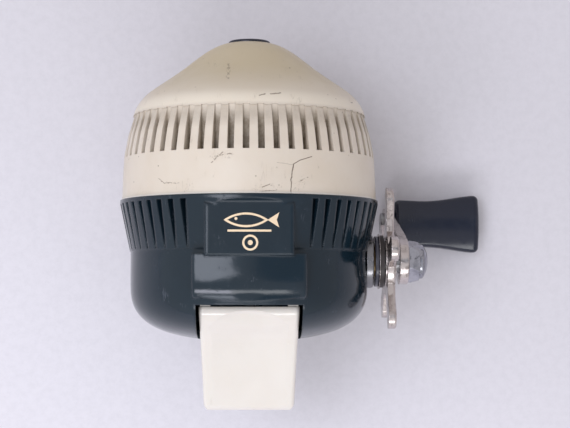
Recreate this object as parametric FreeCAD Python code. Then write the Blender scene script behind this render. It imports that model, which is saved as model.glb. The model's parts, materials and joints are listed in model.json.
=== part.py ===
"""Spincast fishing reel: right-hand crank, star drag, push-button line release.

Frame, in millimetres: the origin is the centre of the foot's underside.
+X points to the crank, +Y forward along the spool axis, +Z up to the label panel.
Profiles of turned pieces are (radius, distance ahead of the seam).
"""
import FreeCAD, Part
import math
import os

# Where the main axes and planes lie
axis_height = 41.0
seam_y = 14.0
crank_back = 15.4
crank_y = seam_y - crank_back

# Housing and cover
deck_screw_angles = (35, 145, 215, 325)
rim_radius = 33.0
rim_length = 1.0
housing_inner_radius = 28.1
flute_end_radius = 30.5
flute_length = 12.0
flute_floor_radius = 30.3
flute_front_width = 1.7
flute_rear_width = 0.5
flute_positions = 56
flutes_left_out_each_side = 4
panel_half_width = 10.75
panel_height = 31.7
panel_front = -2.1
panel_rear = -14.8
panel_edge_round = 0.7
panel_slope = ((0.4, 0.2), (1.2, 1.6))
hood_half_width = 13.8
hood_height = 31.3
hood_crown_radius = 60.0
hood_plan_radius = 69.0
hood_lip_half_width = 12.2
hood_lip_rear = -25.7
hood_lip_height = 30.0
emblem_rise = 0.14
channel_half_width = 12.9
channel_front = -26.5
channel_floor = 4.0
channel_wall = 2.2
boss_face_x = 29.8
boss_radius = 8.0
cover_slots = 54
cover_slot_width = 1.6
cover_slot_start = 10.8
cover_slot_end = 21.8
cover_slot_offset_deg = 5.2
cover_rib_end = 21.6
cover_inner_radius = 27.4
spigot_radius = 30.2
socket_radius = 30.3
guide_bore_radius = 3.4
guide_radius = 5.4

# Spool drive
gear_teeth = 40
pinion_teeth = 12
gear_mean_radius = 12.5
pinion_pitch_radius = gear_mean_radius * pinion_teeth / gear_teeth
shaft_radius = 1.6
pinion_bore = 1.66
ratchet_radius = 9.5
pawl_y = seam_y - 6.8
pawl_z = axis_height + 14.6
sleeve_radius = 2.9
bushing_bore = 2.96

# Crank side, X of each face
crank_shaft_radius = 3.0
drag_sleeve_radius = 4.2
crank_bush_bore = 4.27
crank_bush_flange_radius = 6.8
crank_bush_face_x = 31.7
collar_inner_x = 32.05
collar_radius = 6.5
plate_washer_x = 33.1
plate_washer_thickness = 0.2
plate_washer_radius = 7.1
thrust_washer_outer_x = 34.35
thrust_washer_radius = 6.7
star_inner_x = 34.7
star_outer_x = 37.3
star_plate_step = 0.3
star_plate_thickness = 2.0
star_tip_radius = 19.0
star_arms = 5
star_first_arm_deg = 8.0
crank_arm_inner_x = 38.4
crank_arm_thickness = 2.3
crank_arm_set_in = 0.8
crank_hub_radius = 5.9
crank_tip_radius = 4.3
knob_forward = 11.3
knob_below = 36.5
knob_inner_x = 40.5
knob_length = 23.55
knob_thickness = 8.8
knob_crown_radius = 15.0
knob_pin_radius = 1.9
knob_pin_end_x = 61.0
nut_across_flats = 9.5
nut_shoulder_x = 43.5
nut_top_x = 45.9
nut_turn_deg = 49.0

# Thumb button
button_front_width = 24.7
button_rear_width = 22.9
button_dish_depth = 1.1
button_dish_half_width = 9.6
pivot_y = seam_y - 23.5
pivot_z = axis_height + 20.0
pivot_radius = 1.5

# Foot
foot_length = 62.0
foot_width = 13.5
foot_seat_z = 9.5

X_AXIS = FreeCAD.Vector(1, 0, 0)
Y_AXIS = FreeCAD.Vector(0, 1, 0)
Z_AXIS = FreeCAD.Vector(0, 0, 1)
spool_centre = FreeCAD.Vector(0, 0, axis_height)
crank_centre = FreeCAD.Vector(0, crank_y, axis_height)
knob_y = crank_y + knob_forward
knob_z = axis_height - knob_below
knob_seat_x = crank_arm_inner_x - crank_arm_set_in + crank_arm_thickness


def vec(x, y, z):
    return FreeCAD.Vector(x, y, z)


def box(x0, x1, y0, y1, z0, z1):
    return Part.makeBox(x1 - x0, y1 - y0, z1 - z0, vec(x0, y0, z0))


def along_x(radius, x0, x1, y=crank_y, z=axis_height):
    return Part.makeCylinder(radius, x1 - x0, vec(x0, y, z), X_AXIS)


def along_y(radius, start, end, x=0.0, z=axis_height):
    """Cylinder about a line beside the spool axis; start and end are from the seam."""
    return Part.makeCylinder(radius, end - start, vec(x, seam_y + start, z), Y_AXIS)


def face_of(points):
    return Part.Face(Part.makePolygon(points + [points[0]]))


def turned(profile):
    """Turn (radius, distance from seam) points about the spool axis."""
    points = [vec(radius, seam_y + y, axis_height) for radius, y in profile]
    return face_of(points).revolve(spool_centre, Y_AXIS, 360)


def about_spool(shape, angle_deg):
    """Turn a shape about the spool axis, from the top towards +X."""
    copy = shape.copy()
    copy.rotate(spool_centre, Y_AXIS, angle_deg)
    return copy


def about_crank(shape, angle_deg):
    copy = shape.copy()
    copy.rotate(crank_centre, X_AXIS, angle_deg)
    return copy


def hexagon_x(across_flats, x0, x1, y, z, turn_deg=0.0):
    corner = across_flats / math.sqrt(3.0)
    points = []
    for index in range(6):
        angle = math.radians(60.0 * index + turn_deg)
        points.append(vec(x0, y + corner * math.cos(angle), z + corner * math.sin(angle)))
    return face_of(points).extrude(vec(x1 - x0, 0, 0))


def rounded(shape, radius, chooser):
    """Fillet the edges that chooser picks."""
    return shape.makeFillet(radius, [edge for edge in shape.Edges if chooser(edge)])


# ---------------------------------------------------------------- cover

def front_cover():
    outer = [(32.55, 0.0), (32.3, 5.5), (32.0, 11.0), (31.2, 16.4), (30.1, 20.4),
             (29.3, 23.1), (28.1, 25.2), (26.2, 27.2), (23.5, 29.2), (20.7, 31.1),
             (18.1, 32.95), (15.6, 34.9), (13.0, 36.95), (10.2, 38.85), (7.9, 40.0),
             (5.4, 40.7)]
    inner = [(4.6, 38.4), (9.0, 36.9), (14.0, 33.6), (19.0, 29.8), (23.6, 26.5),
             (26.3, 24.2), (cover_inner_radius, 21.0), (cover_inner_radius, 5.0)]
    outer_points = [vec(radius, seam_y + y, axis_height) for radius, y in outer]
    inner_points = [vec(radius, seam_y + y, axis_height) for radius, y in inner]
    front = vec(4.6, seam_y + 40.7, axis_height)
    socket = [vec(socket_radius, seam_y + 5.0, axis_height),
              vec(socket_radius, seam_y, axis_height)]
    outer_curve = Part.BSplineCurve()
    outer_curve.interpolate(outer_points)
    corners = [outer_points[-1], front] + inner_points + socket + [outer_points[0]]
    lines = [Part.makeLine(a, b) for a, b in zip(corners[:-1], corners[1:])]
    shell = Part.Face(Part.Wire([outer_curve.toShape()] + lines))
    shell = shell.revolve(spool_centre, Y_AXIS, 360)
    return shell.cut([rib_step()] + [about_spool(cover_slot(), cover_slot_offset_deg + 360.0 * index / cover_slots)
                      for index in range(cover_slots)])


def rib_step():
    """Ring that lowers the front ends of the ribs a little below the cone."""
    top = [(29.45, cover_rib_end), (29.85, 20.4), (31.05, 16.4), (31.8, 12.5), (32.05, 11.0)]
    return turned(top + [(34.0, 11.0), (34.0, cover_rib_end)])


def cover_slot():
    half = cover_slot_width / 2
    points = [
        vec(-half, seam_y + cover_slot_start, axis_height + 28.75),
        vec(-half, seam_y + cover_slot_end, axis_height + 29.35),
        vec(-half, seam_y + cover_slot_end, axis_height + 36.0),
        vec(-half, seam_y + cover_slot_start, axis_height + 36.0),
    ]
    return face_of(points).extrude(vec(cover_slot_width, 0, 0))


def line_guide_ring():
    ring = turned([(guide_bore_radius, 37.8), (4.6, 37.8), (4.6, 40.7), (guide_radius, 40.7),
                   (guide_radius, 41.4), (guide_bore_radius, 41.4)])
    return rounded(ring, 0.5, lambda edge: is_circle(edge, guide_bore_radius, 41.4)
                   or is_circle(edge, guide_radius, 41.4))


def is_circle(edge, radius, y):
    if not isinstance(edge.Curve, Part.Circle):
        return False
    same_radius = abs(edge.Curve.Radius - radius) < 0.01
    return same_radius and abs(edge.Curve.Center.y - seam_y - y) < 0.01


# ---------------------------------------------------------------- housing

def housing_envelope():
    points = [(30.3, -13.0), (30.3, -17.0), (30.3, -21.5), (30.15, -24.2), (28.9, -27.9),
              (26.0, -31.0), (21.1, -33.4), (13.2, -35.1), (6.5, -35.8), (0.0, -36.0)]
    rear = [vec(radius, seam_y + y, axis_height) for radius, y in points]
    curve = Part.BSplineCurve()
    curve.interpolate(rear)
    front = [vec(0, seam_y, axis_height), vec(rim_radius, seam_y, axis_height),
             vec(rim_radius, seam_y - rim_length, axis_height),
             vec(flute_end_radius, seam_y - rim_length - flute_length, axis_height), rear[0]]
    lines = [Part.makeLine(a, b) for a, b in zip(front[:-1], front[1:])]
    axis_line = Part.makeLine(rear[-1], front[0])
    face = Part.Face(Part.Wire(lines + [curve.toShape(), axis_line]))
    return face.revolve(spool_centre, Y_AXIS, 360)


def housing_cavity():
    return turned([(0, 0.1), (housing_inner_radius, 0.1), (housing_inner_radius, -24.0),
                   (26.6, -27.0), (24.0, -29.4), (19.5, -31.4), (12.5, -32.9), (0, -33.8)])


def flute():
    front = seam_y - rim_length
    rear = seam_y - rim_length - flute_length + 0.4
    z = axis_height + flute_floor_radius
    points = [vec(-flute_front_width / 2, front, z), vec(flute_front_width / 2, front, z),
              vec(flute_rear_width / 2, rear, z), vec(-flute_rear_width / 2, rear, z)]
    return face_of(points).extrude(vec(0, 0, 5))


def flutes():
    pitch = 360.0 / flute_positions
    first = flutes_left_out_each_side
    last = flute_positions - flutes_left_out_each_side
    return [about_spool(flute(), (index + 0.5) * pitch) for index in range(first, last)]


def panel_block():
    block = box(-panel_half_width, panel_half_width, seam_y + panel_rear, seam_y + panel_front,
                axis_height + 27.5, axis_height + panel_height)
    top = axis_height + panel_height
    return rounded(block, panel_edge_round, lambda edge: edge.BoundBox.ZMin > top - 0.01)


def hood():
    """Crowned block behind the panel, rounding over to the rear; a lip steps down behind it."""
    profile = [(60.0, -14.2), (59.99, -18.0), (59.92, -20.0), (59.74, -21.5), (59.48, -22.5),
               (59.15, -23.3), (58.75, -24.0), (58.25, -24.6), (57.4, -25.1), (56.0, -25.4),
               (53.0, -25.5)]
    base = axis_height + hood_height - hood_crown_radius
    points = [vec(0, seam_y + y, base + radius) for radius, y in profile]
    curve = Part.BSplineCurve()
    curve.interpolate(points)
    low = [vec(0, points[-1].y, base + 40.0), vec(0, points[0].y, base + 40.0)]
    lines = [Part.makeLine(points[-1], low[0]), Part.makeLine(low[0], low[1]),
             Part.makeLine(low[1], points[0])]
    crown = Part.Face(Part.Wire([curve.toShape()] + lines))
    crown.rotate(vec(0, 0, base), Y_AXIS, -30)
    crown = crown.revolve(vec(0, 0, base), Y_AXIS, 60)
    half = hood_half_width
    block = crown.common(box(-half, half, seam_y - 30.0, seam_y, axis_height + 25.0, axis_height + 40.0))
    block = rounded(block, 0.8, lambda edge: edge.BoundBox.XLength < 0.1 and edge.BoundBox.YLength > 5
                    and edge.BoundBox.ZMax > axis_height + 29.0)
    return block.fuse(hood_lip())


def hood_lip():
    """Thin step whose rear edge is an arc in plan."""
    block = box(-hood_lip_half_width, hood_lip_half_width, seam_y - 30.0, seam_y - 20.0,
                axis_height + 26.0, axis_height + 40.0)
    crown_centre = vec(0, seam_y - 35.0, axis_height + hood_lip_height - hood_crown_radius)
    crown = Part.makeCylinder(hood_crown_radius, 40.0, crown_centre, Y_AXIS)
    crown.rotate(crown_centre, Y_AXIS, 180)
    plan_centre = vec(0, seam_y + hood_lip_rear + hood_plan_radius, axis_height)
    plan = Part.makeCylinder(hood_plan_radius, 60.0, plan_centre)
    plan.rotate(plan_centre, Z_AXIS, 90)
    return rounded(block.common(crown).common(plan), 0.3,
                   lambda edge: edge.BoundBox.ZMin > axis_height + 27.0
                   and edge.BoundBox.YMin < seam_y - 22.0 and edge.Length > 5.0)


def channel_walls():
    """The two sides that close the housing around the thumb button."""
    inner = channel_half_width
    outer = channel_half_width + channel_wall
    ends = (seam_y - 36.5, seam_y + channel_front - 2.2, axis_height + 1.0, axis_height + 31)
    return [box(inner, outer, *ends), box(-outer, -inner, *ends)]


def pivot_lugs():
    lugs = []
    for side in (-1, 1):
        x0 = side * channel_half_width
        x1 = side * (channel_half_width + channel_wall)
        lugs.append(box(min(x0, x1), max(x0, x1), pivot_y - 4.2, pivot_y + 4.2,
                        pivot_z - 3.6, axis_height + 27.8))
    return lugs


def channel_void():
    return box(-channel_half_width, channel_half_width, seam_y - 40, seam_y + channel_front,
               axis_height + channel_floor, axis_height + 40)


def deck_posts():
    posts = []
    for angle in deck_screw_angles:
        post = along_y(2.7, -10.0, -0.3, 0.0, axis_height + 25.6)
        posts.append(about_spool(post, angle))
    return posts


def deck_holes():
    holes = []
    for angle in deck_screw_angles:
        hole = along_y(1.0, -8.0, 3.0, 0.0, axis_height + 25.0)
        holes.append(about_spool(hole, angle))
    return holes


def crank_boss():
    return along_x(boss_radius, 22.0, boss_face_x)


def foot_pad():
    return box(-9.5, 9.5, -15.0, 11.2, foot_seat_z, axis_height - 27.6)


def rear_housing():
    envelope = housing_envelope().cut(flutes())
    shell = envelope.cut(housing_cavity())
    inside = housing_envelope()
    additions = [panel_block(), hood(), foot_pad()]
    additions += [wall.common(inside) for wall in channel_walls() + pivot_lugs()]
    additions += [post.common(inside) for post in deck_posts()]
    additions.append(crank_boss().common(inside))
    spigot = turned([(28.1, -0.5), (spigot_radius, -0.5), (spigot_radius, 4.4), (28.1, 4.4)])
    additions.append(spigot)
    shell = shell.fuse(additions)
    removals = [channel_void(), deck_holes_compound(), panel_trim(), foot_trim()]
    removals.append(along_x(drag_sleeve_radius + 1.3, 20.0, 40.0))
    removals.append(along_x(crank_bush_flange_radius + 0.1, boss_face_x, 40.0))
    removals.append(Part.makeCylinder(pivot_radius, 2 * 15.5, vec(-15.5, pivot_y, pivot_z), X_AXIS))
    removals += foot_screw_holes()
    return shell.cut(removals).removeSplitter()


def deck_holes_compound():
    holes = deck_holes()
    return holes[0].fuse(holes[1:])


def panel_trim():
    """Clears the panel's plane, with a slope up to the rim at its front."""
    front = seam_y + panel_front
    plane = axis_height + panel_height
    line = [(0.0, 0.0)] + list(panel_slope) + [(0.0, panel_slope[-1][1])]
    slope = face_of([vec(-panel_half_width, front + y, plane + z) for y, z in line])
    slope = slope.extrude(vec(2 * panel_half_width, 0, 0))
    return box(-panel_half_width, panel_half_width, seam_y + panel_rear, front,
               plane, plane + 4.0).fuse(slope)


def foot_trim():
    return box(-9.5, 9.5, -15.0, 11.2, 0, foot_seat_z)


def foot_screw_places():
    return [(x, y) for x in (-6.4, 6.4) for y in (-11.0, 7.4)]


def foot_screw_holes():
    return [Part.makeCylinder(1.05, 4.3, vec(x, y, foot_seat_z - 0.2)) for x, y in foot_screw_places()]


def panel_emblem():
    """Plain fish outline, a bar and a ring with a dot, standing just proud of the panel."""
    z = axis_height + panel_height
    fish_y = seam_y - 6.3
    rise = 9.0 - 1.75
    outline = lens(9.0, rise, fish_y, z).cut(lens(8.5, rise, fish_y, z))
    tail = face_of([vec(4.3, fish_y, z), vec(7.1, fish_y + 1.8, z), vec(6.5, fish_y, z),
                    vec(7.1, fish_y - 1.8, z)]).extrude(vec(0, 0, emblem_rise))
    eye = Part.makeCylinder(0.35, emblem_rise, vec(-3.2, fish_y + 0.3, z))
    bar = box(-5.2, 5.2, seam_y - 9.1, seam_y - 8.6, z, z + emblem_rise)
    ring_place = vec(0.2, seam_y - 11.7, z)
    ring = Part.makeCylinder(1.9, emblem_rise, ring_place).cut(
        Part.makeCylinder(1.4, emblem_rise, ring_place))
    dot = Part.makeCylinder(0.6, emblem_rise, ring_place)
    return Part.makeCompound([outline.fuse(tail).removeSplitter(), eye, bar, ring, dot])


def lens(radius, rise, y, z):
    """The part two equal discs share, one each side of the line at y."""
    low = Part.makeCylinder(radius, emblem_rise, vec(-0.8, y - rise, z))
    return low.common(Part.makeCylinder(radius, emblem_rise, vec(-0.8, y + rise, z)))


# ---------------------------------------------------------------- thumb button

def button_outline():
    """Side view of the button's skin: top line, then the underside, as (y, z) from seam and axis."""
    top = [(-26.9, 23.2), (-28.2, 23.3), (-30.2, 21.9), (-33.6, 17.6), (-38.6, 12.6),
           (-44.2, 8.3), (-49.4, 4.9), (-52.2, 2.9), (-53.3, 0.9)]
    under = [(-53.0, -1.1), (-50.6, -0.6), (-45.0, 3.2), (-38.6, 7.0), (-33.6, 11.8),
             (-30.2, 16.2), (-26.9, 17.6)]
    return top, under


def button_skin():
    top, under = button_outline()
    top_points = [vec(0, seam_y + y, axis_height + z) for y, z in top]
    under_points = [vec(0, seam_y + y, axis_height + z) for y, z in under]
    top_curve = Part.BSplineCurve()
    top_curve.interpolate(top_points)
    under_curve = Part.BSplineCurve()
    under_curve.interpolate(under_points)
    edges = [top_curve.toShape(), Part.makeLine(top_points[-1], under_points[0]),
             under_curve.toShape(), Part.makeLine(under_points[-1], top_points[0])]
    slab = Part.Face(Part.Wire(edges)).extrude(vec(26, 0, 0))
    slab.translate(vec(-13, 0, 0))
    return slab


def button_plan():
    """Plan outline, tapering to the rear, with rounded rear corners."""
    front = seam_y - 26.0
    rear = seam_y - 54.0
    wide = button_front_width / 2
    narrow = button_rear_width / 2
    points = [vec(-wide, front, 0), vec(wide, front, 0), vec(narrow, rear, 0), vec(-narrow, rear, 0)]
    prism = face_of(points).extrude(vec(0, 0, 90))
    return rounded(prism, 2.6, lambda edge: edge.Length > 80 and edge.BoundBox.Center.y < seam_y - 50)


def thumb_dish():
    """Shallow hollow for the thumb: deepest on the middle line, fading out at both sides."""
    sections = []
    for part in (-1.0, -0.6, -0.3, 0.0, 0.3, 0.6, 1.0):
        depth = button_dish_depth * (1 - part * part) - 0.06
        front = 2.1 * (1 - part * part)
        line = [(-29.7 + front, 25.0), (-30.1 + front, 23.1), (-31.0, 21.1 - depth),
                (-33.6, 17.6 - depth), (-38.6, 12.6 - 0.8 * depth), (-44.2, 8.3 - 0.6 * depth),
                (-49.4, 4.9 - 0.4 * depth), (-54.0, 1.6)]
        x = part * button_dish_half_width
        curve = Part.BSplineCurve()
        curve.interpolate([vec(x, seam_y + y, axis_height + z) for y, z in line])
        low = vec(x, seam_y + line[-1][0], axis_height + line[-1][1])
        high = vec(x, seam_y + line[0][0], axis_height + line[0][1])
        corner = vec(x, low.y, high.z)
        sections.append(Part.Wire([curve.toShape(), Part.makeLine(low, corner),
                                   Part.makeLine(corner, high)]))
    return Part.makeLoft(sections, True)


def thumb_button():
    body = button_skin().common(button_plan())
    body = rounded(body, 1.1, is_button_rim).cut(thumb_dish())
    hollow = box(-9.6, 9.6, seam_y - 50, seam_y - 29.2, axis_height - 6, axis_height + 25)
    under = button_skin()
    under.translate(vec(0, 0, -3.4))
    hollow = hollow.common(under)
    body = body.cut(hollow)
    rib = face_of([vec(-2.0, seam_y - 30.4, axis_height - 3.0),
                   vec(-2.0, seam_y - 33.0, axis_height - 3.0),
                   vec(-2.0, seam_y - 33.0, axis_height + 5.8),
                   vec(-2.0, seam_y - 36.0, axis_height + 12.4),
                   vec(-2.0, seam_y - 29.0, axis_height + 19.4),
                   vec(-2.0, seam_y - 29.0, axis_height + 6.0),
                   vec(-2.0, seam_y - 30.4, axis_height + 3.0)]).extrude(vec(4.0, 0, 0))
    curtain = box(-11.6, 11.6, seam_y - 33.4, seam_y - 32.0, axis_height + 4.9, axis_height + 13.0)
    lugs = [button_lug(9.4, 11.9), button_lug(-11.9, -9.4)]
    body = body.fuse([rib, curtain] + lugs)
    bore = Part.makeCylinder(pivot_radius + 0.06, 30, vec(-15, pivot_y, pivot_z), X_AXIS)
    return body.cut(bore).removeSplitter()


def is_button_rim(edge):
    """The long top edges at the two sides."""
    centre = edge.BoundBox.Center
    tall = edge.BoundBox.ZLength > 12 and abs(centre.x) > 9
    return tall and centre.z > axis_height + 10


def button_lug(x0, x1):
    eye = Part.makeCylinder(3.2, x1 - x0, vec(x0, pivot_y, pivot_z), X_AXIS)
    web = face_of([vec(x0, pivot_y, pivot_z + 3.2), vec(x0, pivot_y, pivot_z - 3.2),
                   vec(x0, seam_y - 31.0, axis_height + 15.6),
                   vec(x0, seam_y - 29.0, axis_height + 21.6),
                   vec(x0, seam_y - 26.9, axis_height + 22.9)]).extrude(vec(x1 - x0, 0, 0))
    return eye.fuse(web)


def thumb_pivot_pin():
    return Part.makeCylinder(pivot_radius, 30.6, vec(-15.3, pivot_y, pivot_z), X_AXIS)


# ---------------------------------------------------------------- frame inside

def deck_plate():
    plate = along_y(28.0, -0.3, 1.5)
    boss = along_y(5.2, 1.5, 10.6)
    deck = plate.fuse(boss)
    tools = [along_y(4.4, -0.5, 3.0), along_y(3.4, 2.9, 11.0)]
    for angle in deck_screw_angles:
        tools.append(about_spool(along_y(1.3, -0.5, 2.0, 0.0, axis_height + 25.0), angle))
    for angle in (90, 180, 270):
        tools.append(about_spool(along_y(4.0, -0.5, 2.0, 0.0, axis_height + 19.0), angle))
    return deck.cut(tools)


def deck_screws():
    screws = []
    for angle in deck_screw_angles:
        head = along_y(2.2, 1.5, 2.7, 0.0, axis_height + 25.0)
        slot = box(-2.5, 2.5, seam_y + 2.2, seam_y + 3, axis_height + 24.7, axis_height + 25.3)
        stem = along_y(1.0, -7.5, 1.5, 0.0, axis_height + 25.0)
        screws.append(about_spool(head.cut(slot).fuse(stem), angle))
    return Part.makeCompound(screws)


def pinion_bushing():
    return along_y(4.4, -0.7, 3.0).cut(along_y(bushing_bore, -1, 4))


def pawl_bracket():
    """Angle bracket fixed to the back of the deck; its upright carries the pawl pin."""
    low = axis_height + 9.5
    high = axis_height + 17.4
    flange = box(12.3, 18.0, seam_y - 1.5, seam_y - 0.3, low, high)
    web = box(12.3, 13.5, seam_y - 10.5, seam_y - 0.3, low, high)
    return flange.fuse(web).cut(along_x(1.2, 12, 14, pawl_y, pawl_z)).removeSplitter()


def pawl_pin():
    return Part.makeCylinder(1.2, 5.2, vec(8.4, pawl_y, pawl_z), X_AXIS).fuse(
        Part.makeCylinder(1.9, 0.7, vec(7.9, pawl_y, pawl_z), X_AXIS))


def anti_reverse_pawl():
    """Finger that reaches down to the ratchet wheel's rim."""
    eye = Part.makeCylinder(2.5, 2.0, vec(9.2, pawl_y, pawl_z), X_AXIS)
    finger = face_of([vec(9.2, pawl_y + 1.2, pawl_z - 2.1), vec(9.2, pawl_y - 2.2, pawl_z + 1.1),
                      vec(9.2, pawl_y - 5.6, pawl_z - 4.6), vec(9.2, pawl_y - 4.6, pawl_z - 5.4)])
    shape = eye.fuse(finger.extrude(vec(2.0, 0, 0)))
    return shape.cut(Part.makeCylinder(1.25, 4, vec(8.2, pawl_y, pawl_z), X_AXIS)).removeSplitter()


def spool():
    body = turned([(5.3, 2.9), (21.6, 2.9), (21.6, 4.4), (9.5, 4.4), (9.5, 11.2), (21.0, 11.2),
                   (21.0, 12.5), (6.6, 12.5), (6.6, 10.2), (5.3, 10.2)])
    holes = []
    for index in range(6):
        holes.append(about_spool(along_y(2.2, 10.8, 13, 0.0, axis_height + 15.5), 60 * index))
    return body.cut(holes)


def spool_clip():
    ring = along_y(6.3, 10.25, 10.95).cut(along_y(4.9, 10, 11.5))
    gap = box(-1.2, 1.2, seam_y + 10, seam_y + 12, axis_height - 8, axis_height)
    ring = ring.cut(gap)
    return ring.cut(along_y(5.2, 10, 10.6))


def pickup_cam():
    """Ring on the front of the spool that keeps the pickup pin out while line is wound."""
    return turned([(9.4, 12.5), (13.4, 12.5), (13.4, 14.6), (9.4, 14.6)])


# ---------------------------------------------------------------- centre shaft and spinner

def pinion():
    root_radius = pinion_pitch_radius - 0.75
    tip_radius = pinion_pitch_radius + 0.45
    core = along_y(root_radius, -4.6, -1.0)
    teeth = [about_spool(pinion_tooth(root_radius, tip_radius), 90 + 360.0 * index / pinion_teeth)
             for index in range(pinion_teeth)]
    sleeve = along_y(sleeve_radius, -5.2, 4.2)
    gear = core.fuse(teeth).fuse(sleeve)
    return gear.cut(along_y(pinion_bore, -6, 6)).removeSplitter()


def pinion_tooth(root_radius, tip_radius):
    points = [vec(-0.48, seam_y - 4.6, axis_height + root_radius - 0.3),
              vec(0.48, seam_y - 4.6, axis_height + root_radius - 0.3),
              vec(0.2, seam_y - 4.6, axis_height + tip_radius),
              vec(-0.2, seam_y - 4.6, axis_height + tip_radius)]
    return face_of(points).extrude(vec(0, 3.6, 0))


def center_shaft():
    """Rod pushed forward by the thumb button; its rear end is domed."""
    rod = along_y(shaft_radius, -28.4, 21.8)
    dome = Part.makeSphere(shaft_radius, vec(0, seam_y - 28.4, axis_height))
    collar = along_y(2.6, 12.9, 14.0)
    return rod.fuse([dome, collar]).removeSplitter()


def shaft_clip():
    return along_y(3.0, -27.9, -27.0).cut(along_y(shaft_radius, -29, -26))


def return_spring():
    """Coil on the shaft behind the pinion."""
    return coil(2.2, 0.28, 16.6, 1.75, vec(0, seam_y - 26.7, axis_height), Y_AXIS)


def coil(radius, wire, length, pitch, start, direction):
    helix = Part.makeHelix(pitch, length, radius)
    section = Part.Wire(Part.makeCircle(wire, vec(radius, 0, 0), vec(0, 1, pitch / (2 * math.pi * radius))))
    sweep = Part.Wire(helix.Edges).makePipeShell([section], True, True)
    sweep.Placement = FreeCAD.Placement(start, FreeCAD.Rotation(Z_AXIS, direction))
    return Part.Solid(sweep) if sweep.ShapeType == "Shell" else sweep


def spinner_head():
    """Cup over the front of the spool, with a boss that guides the pickup pin."""
    cup = turned([(shaft_radius, 14.0), (4.2, 14.0), (4.2, 17.4), (14.5, 18.2), (21.4, 17.2),
                  (22.8, 15.8), (22.8, 10.6), (24.0, 10.6), (24.0, 16.4), (22.2, 18.4),
                  (15.0, 19.4), (5.0, 18.8), (5.0, 19.0), (shaft_radius, 19.0)])
    boss = Part.makeCylinder(2.5, 6.6, vec(0, seam_y + 15.0, axis_height + 16.9), Z_AXIS)
    hole = Part.makeCylinder(1.26, 12.0, vec(0, seam_y + 15.0, axis_height + 14.0), Z_AXIS)
    return cup.fuse(boss).cut(hole).removeSplitter()


def spinner_nut():
    corner = 6.0 / math.sqrt(3.0)
    points = []
    for index in range(6):
        angle = math.radians(60.0 * index)
        points.append(vec(corner * math.cos(angle), seam_y + 19.0,
                          axis_height + corner * math.sin(angle)))
    return face_of(points).extrude(vec(0, 2.4, 0)).cut(along_y(shaft_radius, 18, 23))


def pickup_pin():
    pin = Part.makeCylinder(1.2, 9.6, vec(0, seam_y + 15.0, axis_height + 16.6), Z_AXIS)
    dome = Part.makeSphere(1.2, vec(0, seam_y + 15.0, axis_height + 26.2 - 1.2))
    tip = Part.makeCylinder(1.2, 8.4, vec(0, seam_y + 15.0, axis_height + 16.6), Z_AXIS)
    return tip.fuse(dome.common(pin)).removeSplitter()


# ---------------------------------------------------------------- crank side

def drive_gear():
    """Crown gear: its teeth point at the spool axis and mesh with the pinion."""
    disc = along_x(13.5, 4.7, 7.0)
    hub = along_x(6.0, 7.0, 7.6)
    teeth = [about_crank(gear_tooth(), 360.0 * (index + 0.5) / gear_teeth)
             for index in range(gear_teeth)]
    recess = along_x(10.6, 4.6, 5.3)
    gear = disc.fuse(hub).cut(recess).fuse(teeth)
    return gear.cut(along_x(crank_shaft_radius, 4, 9)).removeSplitter()


def gear_tooth():
    points = [vec(4.9, crank_y + 11.4, axis_height - 0.46),
              vec(4.9, crank_y + 11.4, axis_height + 0.46),
              vec(3.4, crank_y + 11.4, axis_height + 0.17),
              vec(3.4, crank_y + 11.4, axis_height - 0.17)]
    return face_of(points).extrude(vec(0, 2.0, 0))


def drag_washers():
    stack = []
    for index in range(2):
        x0 = 7.6 + 0.75 * index
        stack.append(along_x(8.0, x0, x0 + 0.7).cut(along_x(crank_shaft_radius, 5, 12)))
    return Part.makeCompound(stack)


def ratchet_wheel():
    teeth = []
    for index in range(12):
        tooth = face_of([vec(9.2, crank_y, axis_height + 7.4),
                         vec(9.2, crank_y, axis_height + ratchet_radius),
                         vec(9.2, crank_y + 4.4, axis_height + 7.0)]).extrude(vec(2.0, 0, 0))
        teeth.append(about_crank(tooth, 30.0 * index))
    wheel = along_x(7.9, 9.2, 11.2).fuse(teeth)
    return wheel.cut(along_x(crank_shaft_radius, 9, 12)).removeSplitter()


def spring_washer():
    dished = Part.makeCone(6.2, 5.0, 0.9, vec(11.25, crank_y, axis_height), X_AXIS)
    hollow = Part.makeCone(5.5, 4.3, 0.9, vec(11.15, crank_y, axis_height), X_AXIS)
    lip = along_x(5.0, 11.65, 12.15)
    return dished.cut(hollow).fuse(lip).cut(along_x(crank_shaft_radius, 11, 13)).removeSplitter()


def crank_shaft():
    shaft = along_x(crank_shaft_radius, 4.9, 43.4)
    flange = along_x(4.6, 4.0, 4.7)
    return shaft.fuse([flange, along_x(crank_shaft_radius, 4.6, 5.0)]).removeSplitter()


def drag_sleeve():
    return along_x(drag_sleeve_radius, 12.3, 34.3).cut(along_x(crank_shaft_radius, 12, 35))


def crank_bushing():
    barrel = along_x(drag_sleeve_radius + 1.3, 22.0, boss_face_x)
    flange = along_x(crank_bush_flange_radius, boss_face_x, crank_bush_face_x)
    flange = rounded(flange, 0.4, lambda edge: edge.BoundBox.Center.x > crank_bush_face_x - 0.1
                     and isinstance(edge.Curve, Part.Circle))
    return barrel.fuse(flange).cut(along_x(crank_bush_bore, 20, 34))


def drag_ring(radius, x0, x1):
    """Flat ring on the drag sleeve."""
    return along_x(radius, x0, x1).cut(along_x(drag_sleeve_radius, x0 - 1, x1 + 1))


def drag_collar():
    """Moulded collar between the bushing and the plate washer."""
    collar = along_x(collar_radius, collar_inner_x, plate_washer_x)
    collar = rounded(collar, 0.3, lambda edge: isinstance(edge.Curve, Part.Circle))
    return collar.cut(along_x(drag_sleeve_radius, 30, 36))


def plate_washer():
    return drag_ring(plate_washer_radius, plate_washer_x, plate_washer_x + plate_washer_thickness)


def thrust_washer():
    return drag_ring(thrust_washer_radius, plate_washer_x + plate_washer_thickness, thrust_washer_outer_x)


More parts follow.
